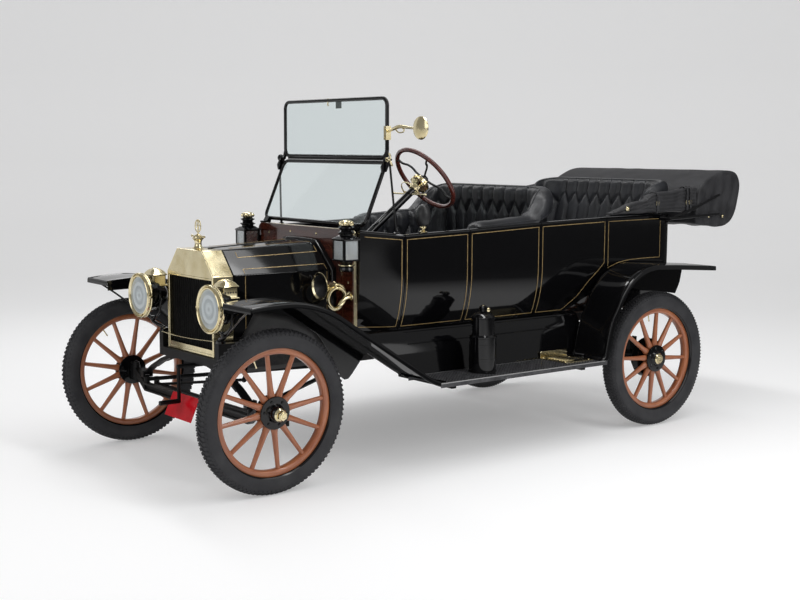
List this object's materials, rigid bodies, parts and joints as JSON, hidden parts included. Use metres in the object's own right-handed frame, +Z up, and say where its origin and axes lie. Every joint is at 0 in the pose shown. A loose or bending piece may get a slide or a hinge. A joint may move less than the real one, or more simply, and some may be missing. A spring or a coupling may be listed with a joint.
{
  "type": "brass era touring car",
  "caption": "Light open touring car of the brass era with wood-spoke wheels, side doors, tall radiator, folded top, folding windshield and acetylene lamps.",
  "frame": {"origin": "on the ground under the middle of the car's overall length and width", "axes": "+Z up, the car faces -Y, +X is the car's own left"},
  "size_m": [1.66, 3.811, 1.8151],
  "materials": {
    "black_enamel": "gloss black enamel",
    "brass": "polished, a little worn",
    "core": "satin black over copper tubes",
    "varnished_wood": "orange-brown varnish",
    "dark_wood": "varnished mahogany",
    "tyre_rubber": "matte rubber",
    "wheel_rim": "red-brown polished rim on a metal spider",
    "iron": "rough casting",
    "glass": "clear",
    "board_metal": "embossed steel, black",
    "red_enamel": "gloss red enamel",
    "leather": "black, buttoned",
    "cloth": "black coated cloth"
  },
  "bodies": {
    "chassis": {"aprons": "black_enamel", "blank_plate": "red_enamel", "boot_scraper": "brass", "controls": "black_enamel", "cowl_panels": "black_enamel", "engine": "iron", "exhaust": "iron", "firewall": "dark_wood", "floor": "dark_wood", "frame": "black_enamel", "front_axle": "black_enamel", "front_fenders": "black_enamel", "front_seat": "leather", "generator": "black_enamel", "glass_lower": "glass", "headlamps": "brass", "hood_former": "black_enamel", "horn": "brass", "radiator_core": "core", "radiator_shell": "brass", "rear_axle": "black_enamel", "rear_fenders": "black_enamel", "rear_seat": "leather", "rear_tub": "black_enamel", "running_boards": "board_metal", "seat_panels": "black_enamel", "side_lamps": "black_enamel", "springs": "black_enamel", "steering_column": "black_enamel", "top_boot": "cloth", "top_irons": "black_enamel", "windshield_lower": "black_enamel"},
    "wheel_front_left": {"wheel_front_left": "varnished_wood", "tyre_front_left": "tyre_rubber"},
    "wheel_front_right": {"wheel_front_right": "varnished_wood", "tyre_front_right": "tyre_rubber"},
    "wheel_rear_left": {"wheel_rear_left": "varnished_wood", "tyre_rear_left": "tyre_rubber"},
    "wheel_rear_right": {"wheel_rear_right": "varnished_wood", "tyre_rear_right": "tyre_rubber"},
    "knuckle_left": {"knuckle_left": "black_enamel"},
    "knuckle_right": {"knuckle_right": "black_enamel"},
    "tie_rod": {"tie_rod": "black_enamel"},
    "pitman_arm": {"pitman_arm": "black_enamel"},
    "steering_wheel": {"steering_wheel": "wheel_rim"},
    "crank": {"crank": "black_enamel"},
    "hood_top_left": {"hood_top_left": "black_enamel"},
    "hood_top_right": {"hood_top_right": "black_enamel"},
    "hood_side_left": {"hood_side_left": "black_enamel"},
    "hood_side_right": {"hood_side_right": "black_enamel"},
    "door_front_right": {"door_front_right": "black_enamel"},
    "door_rear_left": {"door_rear_left": "black_enamel"},
    "door_rear_right": {"door_rear_right": "black_enamel"},
    "windshield_upper": {"windshield_upper": "black_enamel", "glass_upper": "glass"}
  },
  "joints": [
    {"name": "steer_left", "type": "hinge", "parent": "chassis", "child": "knuckle_left", "pos_m": [0.64, -1.5245, 0.381], "axis": [0, 0, 1], "range_deg": [-30, 30]},
    {"name": "steer_right", "type": "hinge", "parent": "chassis", "child": "knuckle_right", "pos_m": [-0.64, -1.5245, 0.381], "axis": [0, 0, 1], "range_deg": [-30, 30]},
    {"name": "tie_rod_pivot", "type": "hinge", "parent": "knuckle_left", "child": "tie_rod", "pos_m": [0.64, -1.4065, 0.302], "axis": [0, 0, 1], "range_deg": [-30, 30]},
    {"name": "pitman_turn", "type": "hinge", "parent": "chassis", "child": "pitman_arm", "pos_m": [0.218, -1.3345, 0.585], "axis": [0.0394, 0.7846, 0.6187], "range_deg": [-37.5, 37.5]},
    {"name": "steering_wheel_turn", "type": "hinge", "parent": "chassis", "child": "steering_wheel", "pos_m": [0.27, -0.2985, 1.402], "axis": [0.0394, 0.7846, 0.6187], "range_deg": [-150, 150]},
    {"name": "wheel_front_left_spin", "type": "hinge", "parent": "knuckle_left", "child": "wheel_front_left", "pos_m": [0.711, -1.5245, 0.381], "axis": [0.9986, 0, -0.0523], "continuous": true},
    {"name": "wheel_front_right_spin", "type": "hinge", "parent": "knuckle_right", "child": "wheel_front_right", "pos_m": [-0.711, -1.5245, 0.381], "axis": [0.9986, 0, 0.0523], "continuous": true},
    {"name": "wheel_rear_left_spin", "type": "hinge", "parent": "chassis", "child": "wheel_rear_left", "pos_m": [0.711, 1.0155, 0.381], "axis": [1, 0, 0], "continuous": true},
    {"name": "wheel_rear_right_spin", "type": "hinge", "parent": "chassis", "child": "wheel_rear_right", "pos_m": [-0.711, 1.0155, 0.381], "axis": [1, 0, 0], "continuous": true},
    {"name": "crank_turn", "type": "hinge", "parent": "chassis", "child": "crank", "pos_m": [0, -1.6145, 0.5], "axis": [0, 1, 0], "continuous": true},
    {"name": "hood_left_lift", "type": "hinge", "parent": "chassis", "child": "hood_top_left", "pos_m": [0, -1.4315, 1.07], "axis": [0, -0.999, -0.045], "range_deg": [0, 60]},
    {"name": "hood_right_lift", "type": "hinge", "parent": "chassis", "child": "hood_top_right", "pos_m": [0, -1.4315, 1.07], "axis": [0, 0.999, 0.045], "range_deg": [0, 60]},
    {"name": "hood_side_left_hang", "type": "hinge", "parent": "hood_top_left", "child": "hood_side_left", "pos_m": [0.2248, -1.4315, 0.9518], "axis": [-0.1128, -0.9936, -0.0117], "range_deg": [-54, 0]},
    {"name": "hood_side_right_hang", "type": "hinge", "parent": "hood_top_right", "child": "hood_side_right", "pos_m": [-0.2248, -1.4315, 0.9518], "axis": [-0.1128, 0.9936, 0.0117], "range_deg": [-54, 0]},
    {"name": "door_front_right_swing", "type": "hinge", "parent": "chassis", "child": "door_front_right", "pos_m": [-0.563, -0.6555, 0.9], "axis": [0, 0, 1], "range_deg": [0, 70]},
    {"name": "door_rear_right_swing", "type": "hinge", "parent": "chassis", "child": "door_rear_right", "pos_m": [-0.563, 0.2675, 0.9], "axis": [0, 0, 1], "range_deg": [0, 70]},
    {"name": "door_rear_left_swing", "type": "hinge", "parent": "chassis", "child": "door_rear_left", "pos_m": [0.563, 0.2675, 0.9], "axis": [0, 0, -1], "range_deg": [0, 70]},
    {"name": "windshield_fold", "type": "hinge", "parent": "chassis", "child": "windshield_upper", "pos_m": [0, -0.7045, 1.504], "axis": [1, 0, 0], "range_deg": [0, 145]}
  ],
  "couplings": [
    {"joint": "steer_right", "follows": "steer_left", "ratio": 1},
    {"joint": "tie_rod_pivot", "follows": "steer_left", "ratio": -1},
    {"joint": "pitman_turn", "follows": "steer_left", "ratio": 1.25},
    {"joint": "steering_wheel_turn", "follows": "steer_left", "ratio": 5},
    {"joint": "hood_side_left_hang", "follows": "hood_left_lift", "ratio": -0.9},
    {"joint": "hood_side_right_hang", "follows": "hood_right_lift", "ratio": -0.9}
  ]
}
